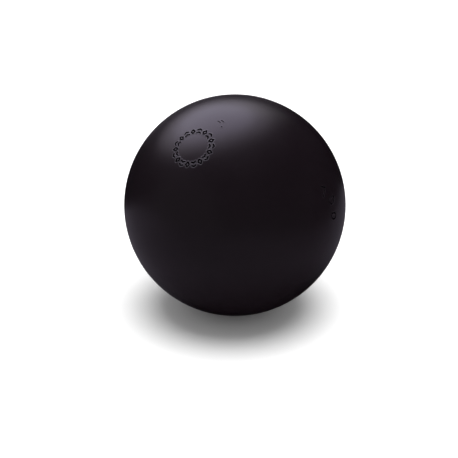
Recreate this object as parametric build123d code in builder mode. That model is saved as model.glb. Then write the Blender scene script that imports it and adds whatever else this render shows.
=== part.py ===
from build123d import *
from math import cos, pi, radians, sin, sqrt, tan
import os

# A hollow steel boule for petanque, in millimetres. The origin is the ball's centre and
# +Z is up. Two forged half shells meet at the equator, where a groove weld joins them.
# The outside is then turned to one true sphere, so the weld's cap is flush with it, and
# the marks are stamped last. Inside, the weld's root stands a little proud of the wall.

# Driving dimensions: the ball's size and weight set how thick its wall is
DIAMETER = 74.0
WEIGHT = 700.0  # grams
STEEL_DENSITY = 0.00785  # grams per cubic millimetre

# The weld
ROOT_FACE = 1.6  # the square land at the bottom of the groove
ROOT_GAP = 0.8
GROOVE_ANGLE = 50.0  # between the two flanks
BEAD_WIDTH = 4.0
BEAD_HEIGHT = 0.8

# The stamps: how deep they go, and how far outside the ball their cutters start
STAMP_DEPTH = 0.35
PUNCH_DEPTH = 0.2
CUTTER_LIFT = 0.2

# The ring of ornaments. Longitude runs from the front, which is -Y, towards +X.
RING_LATITUDE = 51.0
RING_LONGITUDE = -34.4
RING_RADIUS = 6.15
RING_COUNT = 18
ORNAMENT_HEIGHT = 2.5
ORNAMENT_WIDTH = 1.85
LOZENGE_STROKE = 0.5
CHEVRON_STROKE = 0.64  # measured upright, so it is thinner across the slope
CHEVRON_RISE = 0.6

# The proof punch: two slanted strokes above a dot, the whole mark turned a little
PUNCH_LATITUDE = 67.4
PUNCH_LONGITUDE = -17.8
PUNCH_TURN = 22.0
PUNCH_STROKE = 0.36
PUNCH_LENGTH = 1.5
PUNCH_SLANT = -57.0
PUNCH_SPACING = 1.15
PUNCH_RISE = 1.25
PUNCH_DOT_RADIUS = 0.28

# The weight mark: its digits stand on an arc about this point, tops outwards
WEIGHT_LATITUDE = 12.3
WEIGHT_LONGITUDE = 50.2
WEIGHT_ARC_RADIUS = 6.8
WEIGHT_FIRST_BEARING = 66.0
WEIGHT_BEARING_STEP = -46.0
DIGIT_HEIGHT = 3.6
DIGIT_WIDTH = 2.5
DIGIT_STROKE = 0.5

# The sphere and the hollow inside it
RADIUS = DIAMETER / 2


def hollow_radius(steel_volume):
    """The radius of the hollow that leaves this much steel in the wall."""
    return (RADIUS**3 - steel_volume * 3 / (4 * pi)) ** (1 / 3)


STEEL_VOLUME = WEIGHT / STEEL_DENSITY
BEAD_AREA = BEAD_WIDTH * BEAD_HEIGHT * 2 / 3
BEAD_VOLUME = BEAD_AREA * 2 * pi * hollow_radius(STEEL_VOLUME)
INNER_RADIUS = hollow_radius(STEEL_VOLUME - BEAD_VOLUME)

# The points of the section through the weld, as distance from the axis and height
HALF_GAP = ROOT_GAP / 2
LAND_RADIUS = INNER_RADIUS + ROOT_FACE
FLANK_SLOPE = tan(radians(GROOVE_ANGLE / 2))


def on_circle(radius, height):
    """The point of a circle about the centre that is this far above the equator."""
    return (sqrt(radius**2 - height**2), height)


def below(point):
    """The same point on the other side of the equator."""
    return (point[0], -point[1])


def flank_exit():
    """Where the groove's flank comes out through the ball's surface."""
    start = HALF_GAP - FLANK_SLOPE * LAND_RADIUS
    squared = 1 + FLANK_SLOPE**2
    linear = FLANK_SLOPE * start
    root = sqrt(linear**2 - squared * (start**2 - RADIUS**2))
    across = (root - linear) / squared
    return (across, start + FLANK_SLOPE * across)


GROOVE_EDGE = flank_exit()
LAND_TOP = (LAND_RADIUS, HALF_GAP)
LAND_FOOT = on_circle(INNER_RADIUS, HALF_GAP)
BEAD_SIDE = on_circle(INNER_RADIUS, (HALF_GAP + BEAD_WIDTH / 2) / 2)
BEAD_EDGE = on_circle(INNER_RADIUS, BEAD_WIDTH / 2)
BEAD_CREST = (INNER_RADIUS - BEAD_HEIGHT, 0)


def tangent_plane(latitude, longitude):
    """A plane just outside the ball there, with X to the east and Y to the north."""
    north = radians(latitude)
    east = radians(longitude)
    outward = Vector(cos(north) * sin(east), -cos(north) * cos(east), sin(north))
    origin = outward * (RADIUS + CUTTER_LIFT)
    return Plane(origin=origin, x_dir=(cos(east), sin(east), 0), z_dir=outward)


def plane_away_from(centre, distance, bearing):
    """The plane of a mark that stands away from the centre of its group.

    The distance is measured over the ball's surface, and the bearing is counted from
    the group's X axis. The mark's own Y axis points away from the centre.
    """
    angle = distance / RADIUS
    turn = radians(bearing)
    away = centre.x_dir * cos(turn) + centre.y_dir * sin(turn)
    outward = centre.z_dir * cos(angle) + away * sin(angle)
    upward = away * cos(angle) - centre.z_dir * sin(angle)
    origin = outward * (RADIUS + CUTTER_LIFT)
    return Plane(origin=origin, x_dir=upward.cross(outward), z_dir=outward)


def sink_stamp(depth=STAMP_DEPTH):
    """Sink the marks that have just been sketched into the steel."""
    extrude(amount=-(CUTTER_LIFT + depth), mode=Mode.SUBTRACT)


def draw_lozenge():
    """The outline of a rhombus."""
    half_width = ORNAMENT_WIDTH / 2
    half_height = ORNAMENT_HEIGHT / 2
    Polygon((half_width, 0), (0, half_height), (-half_width, 0), (0, -half_height))
    offset(amount=-LOZENGE_STROKE, kind=Kind.INTERSECTION, mode=Mode.SUBTRACT)


def draw_chevrons():
    """Two chevrons, one above the other, that point away from the ring's centre."""
    half_width = ORNAMENT_WIDTH / 2
    band = CHEVRON_STROKE
    spread = (ORNAMENT_HEIGHT - CHEVRON_RISE - band) / 2
    with Locations((0, -spread), (0, spread)):
        Polygon(
            (-half_width, 0),
            (0, CHEVRON_RISE),
            (half_width, 0),
            (half_width, -band),
            (0, CHEVRON_RISE - band),
            (-half_width, -band),
        )


def draw_punch():
    """Two slanted strokes side by side, with a dot below them."""
    with Locations((-PUNCH_SPACING / 2, PUNCH_RISE), (PUNCH_SPACING / 2, PUNCH_RISE)):
        SlotOverall(PUNCH_LENGTH, PUNCH_STROKE, rotation=PUNCH_SLANT)
    with Locations((0, -PUNCH_RISE)):
        Circle(PUNCH_DOT_RADIUS)


def draw_seven():
    """The digit seven: a bar along the top and a slanted leg."""
    half_width = DIGIT_WIDTH / 2
    half_height = DIGIT_HEIGHT / 2
    bar_foot = half_height - DIGIT_STROKE
    Polygon(
        (-half_width, half_height),
        (half_width, half_height),
        (half_width, bar_foot),
        (-half_width / 3 + DIGIT_STROKE, -half_height),
        (-half_width / 3, -half_height),
        (half_width - DIGIT_STROKE, bar_foot),
        (-half_width, bar_foot),
    )


def draw_zero():
    """The digit zero: an upright oval ring."""
    Ellipse(DIGIT_WIDTH / 2, DIGIT_HEIGHT / 2)
    Ellipse(DIGIT_WIDTH / 2 - DIGIT_STROKE, DIGIT_HEIGHT / 2 - DIGIT_STROKE, mode=Mode.SUBTRACT)


# Where each mark stands
punch_place = tangent_plane(PUNCH_LATITUDE, PUNCH_LONGITUDE).rotated((0, 0, PUNCH_TURN))
ring_centre = tangent_plane(RING_LATITUDE, RING_LONGITUDE)
ring_places = [
    plane_away_from(ring_centre, RING_RADIUS, 360 * place / RING_COUNT)
    for place in range(RING_COUNT)
]
weight_centre = tangent_plane(WEIGHT_LATITUDE, WEIGHT_LONGITUDE)
weight_places = [
    plane_away_from(
        weight_centre, WEIGHT_ARC_RADIUS, WEIGHT_FIRST_BEARING + WEIGHT_BEARING_STEP * place
    )
    for place in range(3)
]

# The forging that both half shells are made from, with half of the weld groove turned on
with BuildPart() as forged_shell:
    with BuildSketch(Plane.XZ):
        with BuildLine():
            ThreePointArc((0, RADIUS), on_circle(RADIUS, RADIUS / 2), GROOVE_EDGE)
            Line(GROOVE_EDGE, LAND_TOP)
            Line(LAND_TOP, LAND_FOOT)
            ThreePointArc(LAND_FOOT, on_circle(INNER_RADIUS, INNER_RADIUS / 2), (0, INNER_RADIUS))
            Line((0, INNER_RADIUS), (0, RADIUS))
        make_face()
    revolve(axis=Axis.Z)

# upper_half_shell: the half shell that carries every mark
with BuildPart() as upper_half_shell:
    add(forged_shell.part)
    with BuildSketch(*ring_places[0::2]):
        draw_lozenge()
    sink_stamp()
    with BuildSketch(*ring_places[1::2]):
        draw_chevrons()
    sink_stamp()
    with BuildSketch(punch_place):
        draw_punch()
    sink_stamp(PUNCH_DEPTH)
    with BuildSketch(weight_places[0]):
        draw_seven()
    sink_stamp()
    with BuildSketch(*weight_places[1:]):
        draw_zero()
    sink_stamp()

# lower_half_shell: the same forging turned over, with no marks
with BuildPart() as lower_half_shell:
    add(forged_shell.part)
    mirror(about=Plane.XY, mode=Mode.REPLACE)

# weld_ring: a cap flush with the ball, two flanks, the root and its bead inside
with BuildPart() as weld_ring:
    with BuildSketch(Plane.XZ):
        with BuildLine():
            ThreePointArc(below(GROOVE_EDGE), (RADIUS, 0), GROOVE_EDGE)
            Line(GROOVE_EDGE, LAND_TOP)
            Line(LAND_TOP, LAND_FOOT)
            ThreePointArc(LAND_FOOT, BEAD_SIDE, BEAD_EDGE)
            ThreePointArc(BEAD_EDGE, BEAD_CREST, below(BEAD_EDGE))
            ThreePointArc(below(BEAD_EDGE), below(BEAD_SIDE), below(LAND_FOOT))
            Line(below(LAND_FOOT), below(LAND_TOP))
            Line(below(LAND_TOP), below(GROOVE_EDGE))
        make_face()
    revolve(axis=Axis.Z)

upper_half_shell.part.label = "upper_half_shell"
lower_half_shell.part.label = "lower_half_shell"
weld_ring.part.label = "weld_ring"

os.makedirs("parts", exist_ok=True)
export_step(upper_half_shell.part, "parts/upper_half_shell.step")
export_step(lower_half_shell.part, "parts/lower_half_shell.step")
export_step(weld_ring.part, "parts/weld_ring.step")

shells_volume = upper_half_shell.part.volume + lower_half_shell.part.volume
weight = (shells_volume + weld_ring.part.volume) * STEEL_DENSITY
print(f"wall {RADIUS - INNER_RADIUS:.3f} mm, weight {weight:.1f} g")
print(f"weld cap {2 * GROOVE_EDGE[1]:.2f} mm wide")
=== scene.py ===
import math

import bmesh
import bpy
import numpy as np
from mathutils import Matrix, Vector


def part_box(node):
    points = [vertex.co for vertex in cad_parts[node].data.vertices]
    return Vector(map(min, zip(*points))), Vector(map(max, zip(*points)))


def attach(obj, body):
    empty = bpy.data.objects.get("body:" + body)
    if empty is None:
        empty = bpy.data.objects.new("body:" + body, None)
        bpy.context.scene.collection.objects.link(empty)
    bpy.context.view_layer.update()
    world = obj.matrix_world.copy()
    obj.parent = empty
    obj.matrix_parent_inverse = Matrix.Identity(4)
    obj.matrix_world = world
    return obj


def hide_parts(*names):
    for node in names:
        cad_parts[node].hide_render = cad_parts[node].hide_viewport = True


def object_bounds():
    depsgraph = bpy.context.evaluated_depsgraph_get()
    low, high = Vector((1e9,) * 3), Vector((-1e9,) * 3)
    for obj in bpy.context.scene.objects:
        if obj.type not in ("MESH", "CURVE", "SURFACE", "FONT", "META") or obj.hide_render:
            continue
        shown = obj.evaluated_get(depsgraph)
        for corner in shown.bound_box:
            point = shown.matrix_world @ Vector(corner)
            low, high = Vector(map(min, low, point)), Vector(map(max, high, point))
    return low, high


# The looks of a hollow steel boule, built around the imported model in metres. The three
# pieces are revolved here along the CAD's section, at a finer grain. The stamps are sunk
# into the upper shell as real dents with a raised lip, and the weld has the ripples of its
# root inside. +Z is up, and -Y is the front.

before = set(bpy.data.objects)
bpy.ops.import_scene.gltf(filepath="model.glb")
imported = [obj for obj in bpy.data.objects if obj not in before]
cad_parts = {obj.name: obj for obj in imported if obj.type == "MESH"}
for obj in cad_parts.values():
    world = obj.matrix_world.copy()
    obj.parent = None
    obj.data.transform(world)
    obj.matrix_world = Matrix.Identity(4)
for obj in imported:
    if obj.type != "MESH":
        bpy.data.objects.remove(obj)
cad_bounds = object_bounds()

MM = 0.001

# The section, read from the frame
TOLERANCE = 0.01 * MM  # how near to a surface a point counts as lying on it
CAD_UPPER = np.array([v.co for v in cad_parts["upper_half_shell"].data.vertices])
CAD_WELD = np.array([v.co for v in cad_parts["weld_ring"].data.vertices])
RADIUS = (cad_bounds[1].z - cad_bounds[0].z) / 2
CAP_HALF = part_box("weld_ring")[1].z  # half the width of the weld's cap
LAND_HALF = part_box("upper_half_shell")[0].z  # half the gap between the shells' lands
INNER_RADIUS = float(np.linalg.norm(CAD_UPPER, axis=1).min())
ON_LAND = CAD_UPPER[np.abs(CAD_UPPER[:, 2] - LAND_HALF) < TOLERANCE]
LAND_RADIUS = float(np.hypot(ON_LAND[:, 0], ON_LAND[:, 1]).max())
WELD_ACROSS = np.hypot(CAD_WELD[:, 0], CAD_WELD[:, 1])
CREST_RADIUS = float(WELD_ACROSS.min())
INSIDE_WELD = CAD_WELD[np.linalg.norm(CAD_WELD, axis=1) < INNER_RADIUS + TOLERANCE]
BEAD_HALF = float(INSIDE_WELD[:, 2].max())
GROOVE_ACROSS = math.sqrt(RADIUS**2 - CAP_HALF**2)  # from the axis to the cap's edges
BEAD_ACROSS = math.sqrt(INNER_RADIUS**2 - BEAD_HALF**2)  # from the axis to the bead's edges

# How fine the meshes are
SHELL_SEGMENTS = 240  # round the equator
WELD_SEGMENTS = 4 * SHELL_SEGMENTS
FEWEST_SEGMENTS = 30  # round the smallest rings, by the poles
OUTER_ROWS = 58
INNER_ROWS = 40
FLANK_ROWS = 3
CAP_ROWS = 8
BEAD_ROWS = 14
ZERO_SPANS = 36  # round the oval of a zero
REFINE_LEVELS = 4
FINE_CELL = 0.0625 * MM  # by the strokes of the stamps
CELL_GROWTH = 0.7  # how fast cells may grow with their distance from a stroke
SLOPE_STEP = 0.01 * MM  # how far to each side the slope of a stamp is measured

# The scale-like ripples that the moving weld pool left in the bead
RIPPLE_COUNT = 150
RIPPLE_HEIGHT = 0.07 * MM
RIPPLE_BOW = 0.9  # how far each one trails at the bead's edges, in ripples
RIPPLE_SWELLS = ((0.35, 7, 0), (0.2, 19, 1))  # how strong, how many round, and their phase

# The regions of a piece, which are also its materials' numbers
OUTSIDE, MACHINED, INSIDE, BEAD, STAMPED = range(5)

# The stamps' profile: a flat floor, a slanted wall, and the lip that the punch raised
STAMP_DEPTH = 0.35 * MM
PUNCH_DEPTH = 0.2 * MM
STAMP_WALL = 0.14 * MM  # how wide the slanted wall is
DULL_INSET = STAMP_WALL / 4  # from a stroke's edge to where its dull black, painted darker as shade, starts
LIP_HEIGHT = 0.045 * MM
LIP_OFFSET = 0.12 * MM  # from the stroke's edge to the lip's crest
LIP_WIDTH = 0.12 * MM
LIP_REACH = 0.45 * MM  # nothing is raised beyond this
STROKE_MARGIN = 1.0 * MM  # gaps wider than this need no exact measure
PUNCH_WEAR_AND_SHEEN = 0.3  # how bright the lips are, from rubbing and a painted highlight, where those of the ring are 1
# the digits' lips, rubbed and painted with a highlight, against 1 on the ring
WEIGHT_WEAR_AND_SHEEN = 0.15

# The marks, at the same places and sizes as in the CAD
RING_LATITUDE = 51.0
RING_LONGITUDE = -34.4
RING_RADIUS = 6.15 * MM
RING_COUNT = 18
ORNAMENT_HEIGHT = 2.5 * MM
ORNAMENT_WIDTH = 1.85 * MM
LOZENGE_STROKE = 0.5 * MM
CHEVRON_STROKE = 0.64 * MM  # measured upright
CHEVRON_RISE = 0.6 * MM
CHEVRON_SLOPE = 2 * CHEVRON_RISE / ORNAMENT_WIDTH
CHEVRON_WIDTH = CHEVRON_STROKE * math.cos(math.atan(CHEVRON_SLOPE))  # across the slope

PUNCH_LATITUDE = 67.4
PUNCH_LONGITUDE = -17.8
PUNCH_TURN = 22.0
PUNCH_STROKE = 0.36 * MM
PUNCH_LENGTH = 1.5 * MM
PUNCH_SLANT = -57.0
PUNCH_SPACING = 1.15 * MM
PUNCH_RISE = 1.25 * MM
PUNCH_DOT_RADIUS = 0.28 * MM

WEIGHT_LATITUDE = 12.3
WEIGHT_LONGITUDE = 50.2
WEIGHT_ARC_RADIUS = 6.8 * MM
WEIGHT_BEARINGS = (66.0, 20.0, -26.0)
DIGIT_HEIGHT = 3.6 * MM
DIGIT_WIDTH = 2.5 * MM
DIGIT_STROKE = 0.5 * MM


# ---------------------------------------------------------------- the stamps

class Mark:
    """One stamped character: strokes drawn on a plane that touches the ball."""

    def __init__(self, axes, strokes, width, depth=STAMP_DEPTH, wear_and_sheen=1.0):
        self.across, self.up, self.outward = axes
        self.depth = depth
        # how bright its lips are, from wear and a painted highlight
        self.wear_and_sheen = wear_and_sheen
        self.strokes = strokes  # each a pair of points in metres, on the plane
        self.half_width = width / 2
        ends = np.array([point for stroke in strokes for point in stroke])
        farthest = float(np.linalg.norm(ends, axis=1).max())
        self.reach = farthest + self.half_width  # from its middle

    def gap(self, points):
        """How far each point is from the edge of the nearest stroke; inside is below 0."""
        x = points @ self.across
        y = points @ self.up
        gap = np.hypot(x, y) - self.reach
        gap[points @ self.outward < 0] = RADIUS  # the far side of the ball
        near = np.nonzero(gap < STROKE_MARGIN)[0]
        if len(near):
            flat = np.stack([x[near], y[near]], axis=1)
            spans = [distance_to_span(flat, *stroke) for stroke in self.strokes]
            gap[near] = np.min(spans, axis=0) - self.half_width
        return gap


def distance_to_span(points, start, end):
    """How far each point of a plane is from a straight span."""
    start = np.array(start)
    along = np.array(end) - start
    length = along @ along
    share = np.zeros(len(points))
    if length > 0:
        share = np.clip((points - start) @ along / length, 0, 1)
    return np.linalg.norm(points - start - share[:, None] * along, axis=1)


def touching_axes(latitude, longitude, turn=0.0):
    """Across, up and outward at a place on the ball; longitude runs from -Y to +X."""
    north = math.radians(latitude)
    east = math.radians(longitude)
    outward = np.array([
        math.cos(north) * math.sin(east),
        -math.cos(north) * math.cos(east),
        math.sin(north),
    ])
    eastward = np.array([math.cos(east), math.sin(east), 0.0])
    northward = np.cross(outward, eastward)
    turned = math.radians(turn)
    across = eastward * math.cos(turned) + northward * math.sin(turned)
    return across, np.cross(outward, across), outward


def axes_away(centre, distance, bearing):
    """The axes of a mark that stands away from its group's centre, with its top outwards."""
    across, up, outward = centre
    angle = distance / RADIUS
    turn = math.radians(bearing)
    away = across * math.cos(turn) + up * math.sin(turn)
    place = outward * math.cos(angle) + away * math.sin(angle)
    top = away * math.cos(angle) - outward * math.sin(angle)
    return np.cross(top, place), top, place


def chain(points, closed=False):
    """The spans that join these points in order."""
    following = points[1:] + points[:1] if closed else points[1:]
    return list(zip(points, following))


def lozenge_strokes():
    """A rhombus, drawn along the middle of its outline."""
    half_width = ORNAMENT_WIDTH / 2
    half_height = ORNAMENT_HEIGHT / 2
    slope_length = math.hypot(half_width, half_height)
    inset = 1 - LOZENGE_STROKE / 2 * slope_length / (half_width * half_height)
    corners = [(half_width, 0), (0, half_height), (-half_width, 0), (0, -half_height)]
    return chain([(x * inset, y * inset) for x, y in corners], closed=True)


def chevron_strokes():
    """Two chevrons, one above the other, drawn along the middle of their bands."""
    half_width = ORNAMENT_WIDTH / 2
    share = 1 - CHEVRON_WIDTH / 2 / half_width  # leaves room for the rounded ends
    spread = (ORNAMENT_HEIGHT - CHEVRON_RISE - CHEVRON_STROKE) / 2
    spans = []
    for middle in (-spread, spread):
        head = middle + CHEVRON_RISE - CHEVRON_STROKE / 2
        foot = head - CHEVRON_RISE * share
        spans += chain([(-half_width * share, foot), (0, head), (half_width * share, foot)])
    return spans


def punch_strokes():
    """Two slanted strokes side by side."""
    reach = (PUNCH_LENGTH - PUNCH_STROKE) / 2
    along = reach * math.cos(math.radians(PUNCH_SLANT))
    climb = reach * math.sin(math.radians(PUNCH_SLANT))
    spans = []
    for x in (-PUNCH_SPACING / 2, PUNCH_SPACING / 2):
        spans.append(((x - along, PUNCH_RISE - climb), (x + along, PUNCH_RISE + climb)))
    return spans


def seven_strokes():
    """The digit seven: a bar along the top and a slanted leg."""
    side = DIGIT_WIDTH / 2 - DIGIT_STROKE / 2
    top = DIGIT_HEIGHT / 2 - DIGIT_STROKE / 2
    foot = (-DIGIT_WIDTH / 6 + DIGIT_STROKE / 2, -top)
    return chain([(-side, top), (side, top), foot])


def zero_strokes():
    """The digit zero: an upright oval."""
    side = DIGIT_WIDTH / 2 - DIGIT_STROKE / 2
    top = DIGIT_HEIGHT / 2 - DIGIT_STROKE / 2
    turns = [2 * math.pi * step / ZERO_SPANS for step in range(ZERO_SPANS)]
    return chain([(side * math.cos(t), top * math.sin(t)) for t in turns], closed=True)


def make_marks():
    """Every mark on the ball: the ring of ornaments, the proof punch and the weight."""
    marks = []
    ring_centre = touching_axes(RING_LATITUDE, RING_LONGITUDE)
    for place in range(RING_COUNT):
        axes = axes_away(ring_centre, RING_RADIUS, 360 * place / RING_COUNT)
        strokes = chevron_strokes() if place % 2 else lozenge_strokes()
        width = CHEVRON_WIDTH if place % 2 else LOZENGE_STROKE
        marks.append(Mark(axes, strokes, width))
    punch_axes = touching_axes(PUNCH_LATITUDE, PUNCH_LONGITUDE, PUNCH_TURN)
    marks.append(Mark(punch_axes, punch_strokes(), PUNCH_STROKE, PUNCH_DEPTH, PUNCH_WEAR_AND_SHEEN))
    dot = (0.0, -PUNCH_RISE)
    marks.append(Mark(punch_axes, [(dot, dot)], 2 * PUNCH_DOT_RADIUS, PUNCH_DEPTH, PUNCH_WEAR_AND_SHEEN))
    weight_centre = touching_axes(WEIGHT_LATITUDE, WEIGHT_LONGITUDE)
    digits = (seven_strokes(), zero_strokes(), zero_strokes())
    for bearing, strokes in zip(WEIGHT_BEARINGS, digits):
        axes = axes_away(weight_centre, WEIGHT_ARC_RADIUS, bearing)
        marks.append(Mark(axes, strokes, DIGIT_STROKE, wear_and_sheen=WEIGHT_WEAR_AND_SHEEN))
    return marks


MARKS = make_marks()


def mark_gap(points):
    """How far each point is from the edge of the nearest stroke of any mark."""
    return np.min([mark.gap(points) for mark in MARKS], axis=0)


def stamp_height(points):
    """How far the surface stands above the sphere at each point."""
    height = np.zeros(len(points))
    for mark in MARKS:
        gap = mark.gap(points)
        sunk = np.clip(-gap / STAMP_WALL, 0, 1)
        sunk = sunk * sunk * (3 - 2 * sunk)  # rounds the wall's top and foot
        raised = lip_share(gap) * (1 - sunk)
        own = LIP_HEIGHT * mark.depth / STAMP_DEPTH * raised - mark.depth * sunk
        height = np.where(np.abs(own) > np.abs(height), own, height)
    return height


def lip_share(gap):
    """1 along the crest of the lip that the punch raised round a stroke."""
    return np.exp(-(((gap - LIP_OFFSET) / LIP_WIDTH) ** 2))


def lip_wear_and_sheen(points):
    """How bright each point is, from black rubbed off and a painted highlight, which is most
    along the lips.
    """
    return np.max([mark.wear_and_sheen * lip_share(mark.gap(points)) for mark in MARKS], axis=0)


def dull_gap(points):
    """How far each point is from the nearest stroke deep enough for the dull black with its
    painted shade.
    """
    return np.min([mark.gap(points) for mark in MARKS if mark.depth == STAMP_DEPTH], axis=0)


def unit(vectors):
    """The same directions, each of length one."""
    return vectors / np.linalg.norm(vectors, axis=1)[:, None]


def stamped_normals(points):
    """The surface's direction on the stamped sphere, from the slope of the stamps."""
    outward = unit(points)
    sideways = unit(np.cross(outward, (0.0, 0.0, 1.0)))  # no stamp reaches the pole
    upward = np.cross(sideways, outward)
    normals = outward.copy()
    for direction in (sideways, upward):
        ahead = stamp_height(outward * RADIUS + direction * SLOPE_STEP)
        behind = stamp_height(outward * RADIUS - direction * SLOPE_STEP)
        normals -= direction * ((ahead - behind) / (2 * SLOPE_STEP))[:, None]
    return unit(normals)


# ---------------------------------------------------------------- the meshes

class Skin:
    """The points and faces of one closed piece, with the region that each face is in."""

    def __init__(self):
        self.points = []
        self.faces = []
        self.regions = []

    def ring(self, across, height, count, ripple=None):
        """Adds a level ring of points, set outwards by any ripple, and returns their numbers."""
        first = len(self.points)
        for step in range(count):
            turn = 2 * math.pi * step / count
            reach = across + (ripple(turn) if ripple else 0)
            self.points.append((reach * math.cos(turn), reach * math.sin(turn), height))
        return list(range(first, first + count))

    def band(self, low, high, region):
        """Joins two rings. The second has as many points as the first, or half as many."""
        count = len(high)
        if len(low) == count:
            for step in range(count):
                beyond = (step + 1) % count
                self.add((low[step], low[beyond], high[beyond], high[step]), region)
            return
        for step in range(count):
            beyond = (step + 1) % count
            left, middle, right = low[2 * step], low[2 * step + 1], low[2 * beyond]
            self.add((left, middle, high[step]), region)
            self.add((middle, high[beyond], high[step]), region)
            self.add((middle, right, high[beyond]), region)

    def dome(self, ring, radius, latitudes, region):
        """Rings from this one up to the pole, with fewer points as they get smaller."""
        widest = 2 * math.pi * radius / len(ring)
        for latitude in latitudes[1:-1]:
            across = radius * math.cos(latitude)
            count = len(ring)
            if 2 * math.pi * across / count < widest / 2 and count > FEWEST_SEGMENTS:
                count //= 2
            following = self.ring(across, radius * math.sin(latitude), count)
            self.band(ring, following, region)
            ring = following
        self.points.append((0.0, 0.0, radius))
        pole = len(self.points) - 1
        for step in range(len(ring)):
            self.add((ring[step], ring[(step + 1) % len(ring)], pole), region)

    def add(self, corners, region):
        """Adds one face."""
        self.faces.append(corners)
        self.regions.append(region)


def grades(low, high, rows):
    """Latitudes evenly spaced from one to another, in radians."""
    return np.linspace(low, high, rows + 1)


def across_at(radius, height):
    """How far from the axis a sphere of this radius is at this height."""
    return math.sqrt(radius**2 - height**2)


def flank_points():
    """The rows of the groove's upper flank, as distance from the axis and height.

    They run from the cap's edge, which they leave out, to the land.
    """
    points = []
    for row in range(1, FLANK_ROWS + 1):
        share = row / FLANK_ROWS
        across = GROOVE_ACROSS + (LAND_RADIUS - GROOVE_ACROSS) * share
        points.append((across, CAP_HALF + (LAND_HALF - CAP_HALF) * share))
    return points


def shell_skin():
    """The upper half shell: outside, flank of the groove, land and inside."""
    skin = Skin()
    edge = skin.ring(GROOVE_ACROSS, CAP_HALF, SHELL_SEGMENTS)
    outer = grades(math.asin(CAP_HALF / RADIUS), math.pi / 2, OUTER_ROWS)
    skin.dome(edge, RADIUS, outer, OUTSIDE)
    ring = edge
    for across, height in flank_points():
        following = skin.ring(across, height, SHELL_SEGMENTS)
        skin.band(ring, following, MACHINED)
        ring = following
    foot = skin.ring(across_at(INNER_RADIUS, LAND_HALF), LAND_HALF, SHELL_SEGMENTS)
    skin.band(ring, foot, MACHINED)
    inner = grades(math.asin(LAND_HALF / INNER_RADIUS), math.pi / 2, INNER_ROWS)
    skin.dome(foot, INNER_RADIUS, inner, INSIDE)
    return skin


def weld_section():
    """The weld's closed section: up the cap, in along the upper flank, down the bead inside,
    and out again along the lower flank.

    Each row holds the distance from the axis, the height, how much it ripples, and the
    region of the band that leads to it.
    """
    rows = [(GROOVE_ACROSS, -CAP_HALF, 0, MACHINED)]
    for height in np.linspace(-CAP_HALF, CAP_HALF, CAP_ROWS + 1)[1:]:
        rows.append((across_at(RADIUS, height), height, 0, OUTSIDE))
    for across, height in flank_points():
        rows.append((across, height, 0, MACHINED))
    for height in (LAND_HALF, BEAD_HALF):
        rows.append((across_at(INNER_RADIUS, height), height, 0, MACHINED))
    for share in np.linspace(1, -1, BEAD_ROWS + 1)[1:-1]:
        crown = 1 - share**2
        across = BEAD_ACROSS + (CREST_RADIUS - BEAD_ACROSS) * crown
        rows.append((across, BEAD_HALF * share, crown, BEAD))
    rows.append((BEAD_ACROSS, -BEAD_HALF, 0, BEAD))
    rows.append((across_at(INNER_RADIUS, LAND_HALF), -LAND_HALF, 0, MACHINED))
    for across, height in reversed(flank_points()):
        rows.append((across, -height, 0, MACHINED))
    return rows


def weld_skin():
    """The weld: a cap flush with the ball, its flanks, and the rippled bead inside."""
    skin = Skin()
    section = weld_section()
    rings = []
    for across, height, crown, _ in section:
        rings.append(skin.ring(across, height, WELD_SEGMENTS, bead_ripple(height, crown)))
    for place, ring in enumerate(rings):
        following = (place + 1) % len(rings)
        skin.band(ring, rings[following], section[following][3])
    return skin


def bead_ripple(height, crown):
    """How far a row of the bead is set back, as a function of the turn; None if it is plain."""
    if not crown:
        return None
    bow = RIPPLE_BOW * (height / BEAD_HALF) ** 2

    def ripple(turn):
        phase = (turn * RIPPLE_COUNT / (2 * math.pi) + bow) % 1
        uneven = 1
        for amount, count, start in RIPPLE_SWELLS:
            uneven += amount * math.sin(turn * count + start)
        return RIPPLE_HEIGHT * crown * uneven * (1 - phase) ** 2

    return ripple


def to_bmesh(skin, mirrored=False):
    """The skin as a bmesh, turned over for the lower shell, with its regions as materials."""
    mesh = bmesh.new()
    points = [(x, y, -z) for x, y, z in skin.points] if mirrored else skin.points
    corners = [mesh.verts.new(point) for point in points]
    for face, region in zip(skin.faces, skin.regions):
        made = mesh.faces.new([corners[corner] for corner in face])
        made.material_index = region
        made.smooth = True
    bmesh.ops.recalc_face_normals(mesh, faces=mesh.faces)
    return mesh


def refine_near_marks(mesh):
    """Halves the cells of the outside near the strokes until they are fine enough."""
    for _ in range(REFINE_LEVELS):
        faces = [face for face in mesh.faces if face.material_index == OUTSIDE]
        centres = np.array([face.calc_center_median() for face in faces])
        sizes = np.array([max(edge.calc_length() for edge in face.edges) for face in faces])
        clear = np.maximum(mark_gap(centres) - sizes / 2 - LIP_REACH / 2, 0)
        coarse = sizes > FINE_CELL + CELL_GROWTH * clear
        edges = {edge for face, cut in zip(faces, coarse) if cut for edge in face.edges}
        bmesh.ops.subdivide_edges(mesh, edges=list(edges), cuts=1, use_grid_fill=True)
        for vertex in outside_vertices(mesh):
            vertex.co = vertex.co.normalized() * RADIUS


def outside_vertices(mesh):
    """The vertices of the faces that lie on the sphere."""
    return {v for face in mesh.faces if face.material_index == OUTSIDE for v in face.verts}


def sink_marks(mesh):
    """Presses the marks into the sphere."""
    vertices = list(outside_vertices(mesh))
    points = np.array([vertex.co for vertex in vertices])
    heights = stamp_height(points)
    for vertex, height in zip(vertices, heights):
        vertex.co = vertex.co.normalized() * (RADIUS + height)


def stored(items, name, width=1, kind=np.float64):
    """A value that each of these items of a mesh holds, as an array."""
    values = np.zeros(len(items) * width, kind)
    items.foreach_get(name, values)
    return values.reshape(-1, width) if width > 1 else values


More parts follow.
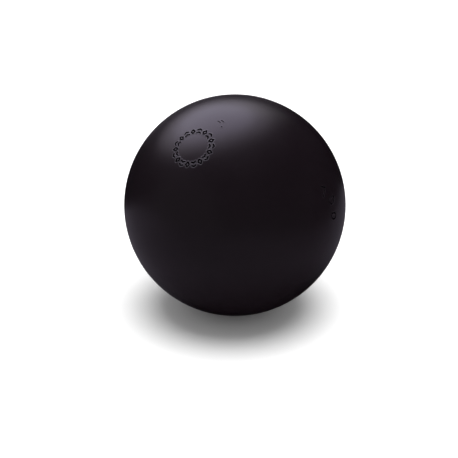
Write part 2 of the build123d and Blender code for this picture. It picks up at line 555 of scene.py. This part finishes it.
def set_normals(mesh, stamped):
    """Exact directions on the sphere and the stamps, and smooth ones within each region."""
    points = stored(mesh.vertices, "co", 3)
    corner = stored(mesh.loops, "vertex_index", kind=np.int32)
    sides = stored(mesh.polygons, "loop_total", kind=np.int32)
    face_of = np.repeat(np.arange(len(sides)), sides)
    region = stored(mesh.polygons, "material_index", kind=np.int32)[face_of]
    weighted = stored(mesh.polygons, "normal", 3) * stored(mesh.polygons, "area")[:, None]
    smooth = np.zeros((len(corner), 3))
    for number in (OUTSIDE, MACHINED, INSIDE, BEAD):
        inside = region == number
        total = np.zeros((len(points), 3))
        np.add.at(total, corner[inside], weighted[face_of[inside]])
        smooth[inside] = total[corner[inside]]
    smooth = unit(smooth)
    outside = region == OUTSIDE
    exact = unit(points)
    if stamped:
        near = np.zeros(len(points), bool)
        near[np.unique(corner[outside])] = True
        near &= mark_gap(points) < LIP_REACH
        exact[near] = stamped_normals(points[near])
    smooth[outside] = exact[corner[outside]]
    mesh.normals_split_custom_set(smooth.tolist())


def finish_stamps(mesh):
    """Gives the strokes their dull black, painted darker as shade, and stores the lips' wear and
    painted highlight.
    """
    lips = mesh.attributes.new("lip", "FLOAT", "POINT")
    worn_and_sheen = lip_wear_and_sheen(stored(mesh.vertices, "co", 3))
    lips.data.foreach_set("value", worn_and_sheen.astype(np.float32))
    region = stored(mesh.polygons, "material_index", kind=np.int32)
    # the deep strokes' faces take the dull black that is painted darker as shade
    sunk = dull_gap(stored(mesh.polygons, "center", 3)) < -DULL_INSET
    region[sunk & (region == OUTSIDE)] = STAMPED
    mesh.polygons.foreach_set("material_index", region)


def make_piece(name, mesh, node, materials, stamped=False):
    """Turns a bmesh into the piece that stands for a CAD node."""
    data = bpy.data.meshes.new(name)
    mesh.to_mesh(data)
    mesh.free()
    for material in materials:
        data.materials.append(material)
    set_normals(data, stamped)
    if stamped:
        finish_stamps(data)
    piece = bpy.data.objects.new(name, data)
    bpy.context.scene.collection.objects.link(piece)
    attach(piece, "root")
    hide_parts(node)


# ---------------------------------------------------------------- the materials

# The sockets of a Mix node that mix colours, by their numbers
MIX_SHARE = 0
MIX_FIRST = 6
MIX_SECOND = 7
MIX_RESULT = 2


class Shader:
    """A material's node tree, with short ways to add and join its nodes."""

    def __init__(self, name):
        self.material = bpy.data.materials.new(name)
        self.material.use_nodes = True
        self.tree = self.material.node_tree
        self.surface = self.tree.nodes["Principled BSDF"]
        self.place = self.node("ShaderNodeTexCoord").outputs["Object"]

    def node(self, kind, **values):
        made = self.tree.nodes.new(kind)
        for name, value in values.items():
            setattr(made, name, value)
        return made

    def join(self, source, socket):
        self.tree.links.new(source, socket)

    def noise(self, size, detail=2.0, stretch=None):
        """Noise whose blotches are about this big, in metres."""
        made = self.node("ShaderNodeTexNoise")
        made.inputs["Scale"].default_value = 1 / size
        made.inputs["Detail"].default_value = detail
        place = self.place
        if stretch:
            scaled = self.node("ShaderNodeMapping")
            scaled.inputs["Scale"].default_value = stretch
            self.join(place, scaled.inputs["Vector"])
            place = scaled.outputs["Vector"]
        self.join(place, made.inputs["Vector"])
        return made.outputs["Fac"]

    def share(self, name):
        """A value stored on the mesh."""
        return self.node("ShaderNodeAttribute", attribute_name=name).outputs["Fac"]

    def span(self, source, low, high, start=0.0, end=1.0):
        """Rescales a value from start..end to low..high, and holds it there."""
        made = self.node("ShaderNodeMapRange")
        self.join(source, made.inputs["Value"])
        made.inputs["From Min"].default_value = start
        made.inputs["From Max"].default_value = end
        made.inputs["To Min"].default_value = low
        made.inputs["To Max"].default_value = high
        return made.outputs["Result"]

    def blend(self, share, first, second):
        """A colour between two; either may be a colour or another node's output."""
        made = self.node("ShaderNodeMix", data_type="RGBA")
        self.join(share, made.inputs[MIX_SHARE])
        for source, number in ((first, MIX_FIRST), (second, MIX_SECOND)):
            if isinstance(source, tuple):
                made.inputs[number].default_value = (*source, 1.0)
            else:
                self.join(source, made.inputs[number])
        return made.outputs[MIX_RESULT]

    def bump(self, height, distance):
        """Lets a height texture tilt the surface; distance is in metres."""
        made = self.node("ShaderNodeBump")
        made.inputs["Strength"].default_value = 1.0
        made.inputs["Distance"].default_value = distance
        self.join(height, made.inputs["Height"])
        self.join(made.outputs["Normal"], self.surface.inputs["Normal"])

    def set(self, **values):
        """Sets the surface's own sockets; an underscore stands for a space."""
        for name, value in values.items():
            self.surface.inputs[name.replace("_", " ")].default_value = value


def black_finish():
    """Satin black over ground steel: a fine grain, faint clouds, and lips that are worn and
    painted with a bright highlight.
    """
    shader = Shader("black_finish")
    clouds = shader.noise(14 * MM, detail=3.0)
    grain = shader.noise(0.16 * MM, detail=2.0)
    black = shader.blend(clouds, (0.0053, 0.0033, 0.0048), (0.0062, 0.0039, 0.0056))
    wear_and_sheen_patches = shader.span(shader.noise(1.6 * MM, detail=2.0), 0.45, 1.25, start=0.3, end=0.7)
    share = shader.node("ShaderNodeMath", operation="MULTIPLY", use_clamp=True)
    shader.join(shader.share("lip"), share.inputs[0])
    shader.join(wear_and_sheen_patches, share.inputs[1])
    # painted highlight: the lips are coloured lighter, partly as wear and partly as a bright
    # halo round the strokes
    worn_and_sheen = shader.blend(share.outputs[0], black, (0.044, 0.040, 0.048))
    shader.join(worn_and_sheen, shader.surface.inputs["Base Color"])
    rough = shader.span(clouds, 0.30, 0.34, start=0.3, end=0.7)
    shader.join(rough, shader.surface.inputs["Roughness"])
    shader.bump(grain, 0.004 * MM)
    shader.set(Specular_Tint=(1.0, 0.92, 1.0, 1.0), IOR=1.5)
    return shader.material


def stamped_black():
    """The bottoms of the stamps: dull, and painted darker than the finish round them as shade in
    the recesses.
    """
    shader = Shader("stamped_black")
    crust = shader.noise(0.12 * MM, detail=3.0)
    # painted shade: the stamps' floors are coloured darker than the black finish around them
    black = shader.blend(crust, (0.0010, 0.0006, 0.0012), (0.0026, 0.0018, 0.0032))
    shader.join(black, shader.surface.inputs["Base Color"])
    shader.join(shader.span(crust, 0.55, 0.75), shader.surface.inputs["Roughness"])
    shader.bump(crust, 0.01 * MM)
    shader.set(Specular_IOR_Level=0.12)
    return shader.material


def machined_steel():
    """The bright turned faces of the weld groove."""
    shader = Shader("machined_steel")
    lines = shader.noise(0.25 * MM, detail=2.0, stretch=(0.02, 0.02, 1.0))
    steel = shader.blend(lines, (0.32, 0.31, 0.30), (0.46, 0.45, 0.44))
    shader.join(steel, shader.surface.inputs["Base Color"])
    shader.join(shader.span(lines, 0.28, 0.40), shader.surface.inputs["Roughness"])
    shader.bump(lines, 0.01 * MM)
    shader.set(Metallic=1.0)
    return shader.material


def forge_scale():
    """The inside of the hollow: grey-blue scale from the forging, in patches."""
    shader = Shader("forge_scale")
    patches = shader.noise(5 * MM, detail=6.0)
    crust = shader.noise(0.6 * MM, detail=4.0)
    dark = shader.blend(patches, (0.035, 0.036, 0.042), (0.085, 0.072, 0.066))
    shader.join(dark, shader.surface.inputs["Base Color"])
    shader.join(shader.span(crust, 0.55, 0.8), shader.surface.inputs["Roughness"])
    shader.bump(crust, 0.06 * MM)
    shader.set(Metallic=0.4)
    return shader.material


def weld_bead():
    """The weld's root: bare metal with straw and blue heat tints."""
    shader = Shader("weld_bead")
    tints = shader.noise(3 * MM, detail=3.0)
    fine = shader.noise(0.2 * MM, detail=2.0)
    heat = shader.span(tints, 0.0, 1.0, start=0.35, end=0.65)
    tinted = shader.blend(heat, (0.30, 0.24, 0.16), (0.14, 0.15, 0.21))
    shader.join(tinted, shader.surface.inputs["Base Color"])
    shader.join(shader.span(fine, 0.32, 0.5), shader.surface.inputs["Roughness"])
    shader.bump(fine, 0.01 * MM)
    shader.set(Metallic=1.0)
    return shader.material


# ---------------------------------------------------------------- the pieces

# In the order of the regions' numbers
finish = [black_finish(), machined_steel(), forge_scale(), weld_bead(), stamped_black()]

upper = to_bmesh(shell_skin())
refine_near_marks(upper)
sink_marks(upper)
make_piece(
    "upper_half_shell_steel", upper, "upper_half_shell", finish, stamped=True
)
lower = to_bmesh(shell_skin(), mirrored=True)
make_piece("lower_half_shell_steel", lower, "lower_half_shell", finish)
make_piece("weld_ring_steel", to_bmesh(weld_skin()), "weld_ring", finish)


# ---------------------------------------------------------------- the stage

WHITE = (1.0, 1.0, 1.0)
BLACK = (0.0, 0.0, 0.0)
PAPER_SIZE = 12.0
PAPER_GLOW = 0.01

# The glowing table top that the ball mirrors. Its glow has a painted shadow under the ball,
# and grows lighter away from it as painted light, most of all towards the back and the left,
# up to its back edge. A second sheet far behind shows along the ball's upper rim.
TABLE_DEPTH = 0.1 * MM  # below the paper
TABLE_CORNERS = ((-0.5, -0.5), (0.15, -0.5), (0.15, 0.14), (-0.06, 0.075), (-0.5, 0.075))
FAR_TABLE_CORNERS = ((-0.16, 0.32), (0.06, 0.34), (0.17, 1.0), (-0.42, 1.0))
TABLE_PAINTED_SHADOW_MIDDLE = (8 * MM, -8 * MM, -RADIUS)
TABLE_PAINTED_SHADOW_REACH = 24 * MM
TABLE_LIT_REACH = 58 * MM
TABLE_DIM = (0.085, 0.076, 0.095)
TABLE_BRIGHT = (0.170, 0.154, 0.190)
TABLE_BRIGHTENING = (-0.35, 0.95, 0.0)  # the direction in which it brightens
TABLE_DIM_UNTIL = -60 * MM  # along that direction
TABLE_BRIGHT_FROM = 40 * MM

CAMERA_DISTANCE = 0.4262
CAMERA_ELEVATION = 24.6
CAMERA_PITCH = 25.67
CAMERA_TURN = 0.29
CAMERA_LENS = 100.0


def paper_material():
    """White paper, faintly lit from below as on a light table."""
    shader = Shader("paper")
    shader.set(Base_Color=(0.94, 0.94, 0.94, 1.0), Roughness=1.0, Specular_IOR_Level=0.0)
    shader.set(Emission_Color=(*WHITE, 1.0), Emission_Strength=PAPER_GLOW)
    return shader.material


def table_material():
    """The dim table top that the ball mirrors: it gives its own light, scatters none, and has a
    painted shadow under the ball.
    """
    shader = Shader("table")
    aside = shader.node("ShaderNodeVectorMath", operation="DISTANCE")
    shader.join(shader.place, aside.inputs[0])
    aside.inputs[1].default_value = TABLE_PAINTED_SHADOW_MIDDLE
    # painted shadow: the glow fades to black round the ball's foot
    lit = shader.span(aside.outputs["Value"], 0.0, 1.0, TABLE_PAINTED_SHADOW_REACH, TABLE_LIT_REACH)
    along = shader.node("ShaderNodeVectorMath", operation="DOT_PRODUCT")
    shader.join(shader.place, along.inputs[0])
    along.inputs[1].default_value = TABLE_BRIGHTENING
    share = shader.span(along.outputs["Value"], 0.0, 1.0, TABLE_DIM_UNTIL, TABLE_BRIGHT_FROM)
    # painted light: the glow is brighter towards the back and the left
    glow = shader.blend(share, TABLE_DIM, TABLE_BRIGHT)
    shader.join(shader.blend(lit, BLACK, glow), shader.surface.inputs["Emission Color"])
    shader.set(Base_Color=(*BLACK, 1.0), Roughness=1.0, Specular_IOR_Level=0.0)
    shader.set(Emission_Strength=1.0)
    return shader.material


def make_sheet(name, corners, height, material):
    """A level sheet with these corners, which belongs to the stage."""
    data = bpy.data.meshes.new(name)
    data.from_pydata([(x, y, height) for x, y in corners], [], [range(len(corners))])
    data.materials.append(material)
    sheet = bpy.data.objects.new(name, data)
    bpy.context.scene.collection.objects.link(sheet)
    return sheet


def make_floor():
    """White paper for the camera, and just below it the dim glowing table, with a painted
    shadow, that the ball mirrors.
    """
    half = PAPER_SIZE / 2
    square = [(-half, -half), (half, -half), (half, half), (-half, half)]
    paper = make_sheet("paper", square, -RADIUS, paper_material())
    paper.visible_glossy = False
    paper.visible_shadow = False
    material = table_material()
    for name, corners in (("table", TABLE_CORNERS), ("far_table", FAR_TABLE_CORNERS)):
        table = make_sheet(name, corners, -RADIUS - TABLE_DEPTH, material)
        table.visible_camera = False
        table.visible_diffuse = False
        table.visible_shadow = False


def make_sun(name, azimuth, elevation, width, radiance, mirrored, colour=WHITE):
    """A soft distant disc of this angular width. Azimuth is counted from +Y towards +X.

    A mirrored disc shows only in the ball's gloss, and the others are only scattered.
    """
    light = bpy.data.lights.new(name, "SUN")
    light.energy = radiance * math.pi * math.sin(math.radians(width / 2)) ** 2
    light.angle = math.radians(width)
    light.color = colour
    lamp = bpy.data.objects.new(name, light)
    turn = math.radians(azimuth)
    rise = math.radians(elevation)
    lamp.rotation_euler = (math.pi / 2 - rise, 0, math.pi - turn)
    lamp.visible_glossy = mirrored
    lamp.visible_diffuse = not mirrored
    bpy.context.scene.collection.objects.link(lamp)


def make_mirrored_lights():
    """The softbox behind the ball, a core in a wider halo with two wings, and a side wall."""
    make_sun(
        "key_core", azimuth=-23.5, elevation=52.2, width=53.0, radiance=1.45,
        mirrored=True, colour=(0.92, 0.91, 1.16),
    )
    make_sun(
        "key_halo", azimuth=-23.5, elevation=52.2, width=75.0, radiance=0.82,
        mirrored=True, colour=(1.0, 0.94, 1.04),
    )
    make_sun(
        "key_left_wing", azimuth=-56.0, elevation=50.0, width=38.0, radiance=0.20,
        mirrored=True, colour=(1.0, 0.97, 0.94),
    )
    make_sun(
        "key_right_wing", azimuth=14.0, elevation=31.0, width=26.0, radiance=0.28,
        mirrored=True,
    )
    make_sun(
        "left_wall", azimuth=-125.0, elevation=5.0, width=80.0, radiance=0.065,
        mirrored=True,
    )


def make_scattered_lights():
    """The light that draws the shadow: from the top, from all round, and from below."""
    make_sun(
        "top_light", azimuth=52.0, elevation=86.2, width=58.5, radiance=4.95, mirrored=False,
    )
    make_sun("dome", azimuth=0.0, elevation=90.0, width=178.0, radiance=0.55, mirrored=False)
    make_sun("below", azimuth=0.0, elevation=-90.0, width=178.0, radiance=0.65, mirrored=False)


def make_world():
    """A white room, which only the camera sees."""
    world = bpy.data.worlds.new("studio")
    bpy.context.scene.world = world
    world.use_nodes = True
    background = world.node_tree.nodes["Background"]
    background.inputs["Color"].default_value = (*WHITE, 1.0)
    background.inputs["Strength"].default_value = 1.0
    world.cycles_visibility.glossy = False
    world.cycles_visibility.diffuse = False


def make_camera():
    """A long lens at the height and distance from which the ball is seen."""
    lens = bpy.data.cameras.new("camera")
    lens.lens = CAMERA_LENS
    lens.clip_start = 0.01
    lens.clip_end = 50.0
    camera = bpy.data.objects.new("camera", lens)
    rise = math.radians(CAMERA_ELEVATION)
    camera.location = (0, -CAMERA_DISTANCE * math.cos(rise), CAMERA_DISTANCE * math.sin(rise))
    camera.rotation_euler = (math.radians(90 - CAMERA_PITCH), 0, math.radians(CAMERA_TURN))
    bpy.context.scene.collection.objects.link(camera)
    bpy.context.scene.camera = camera


make_floor()
make_mirrored_lights()
make_scattered_lights()
make_world()
make_camera()
bpy.context.scene.view_settings.view_transform = "Standard"
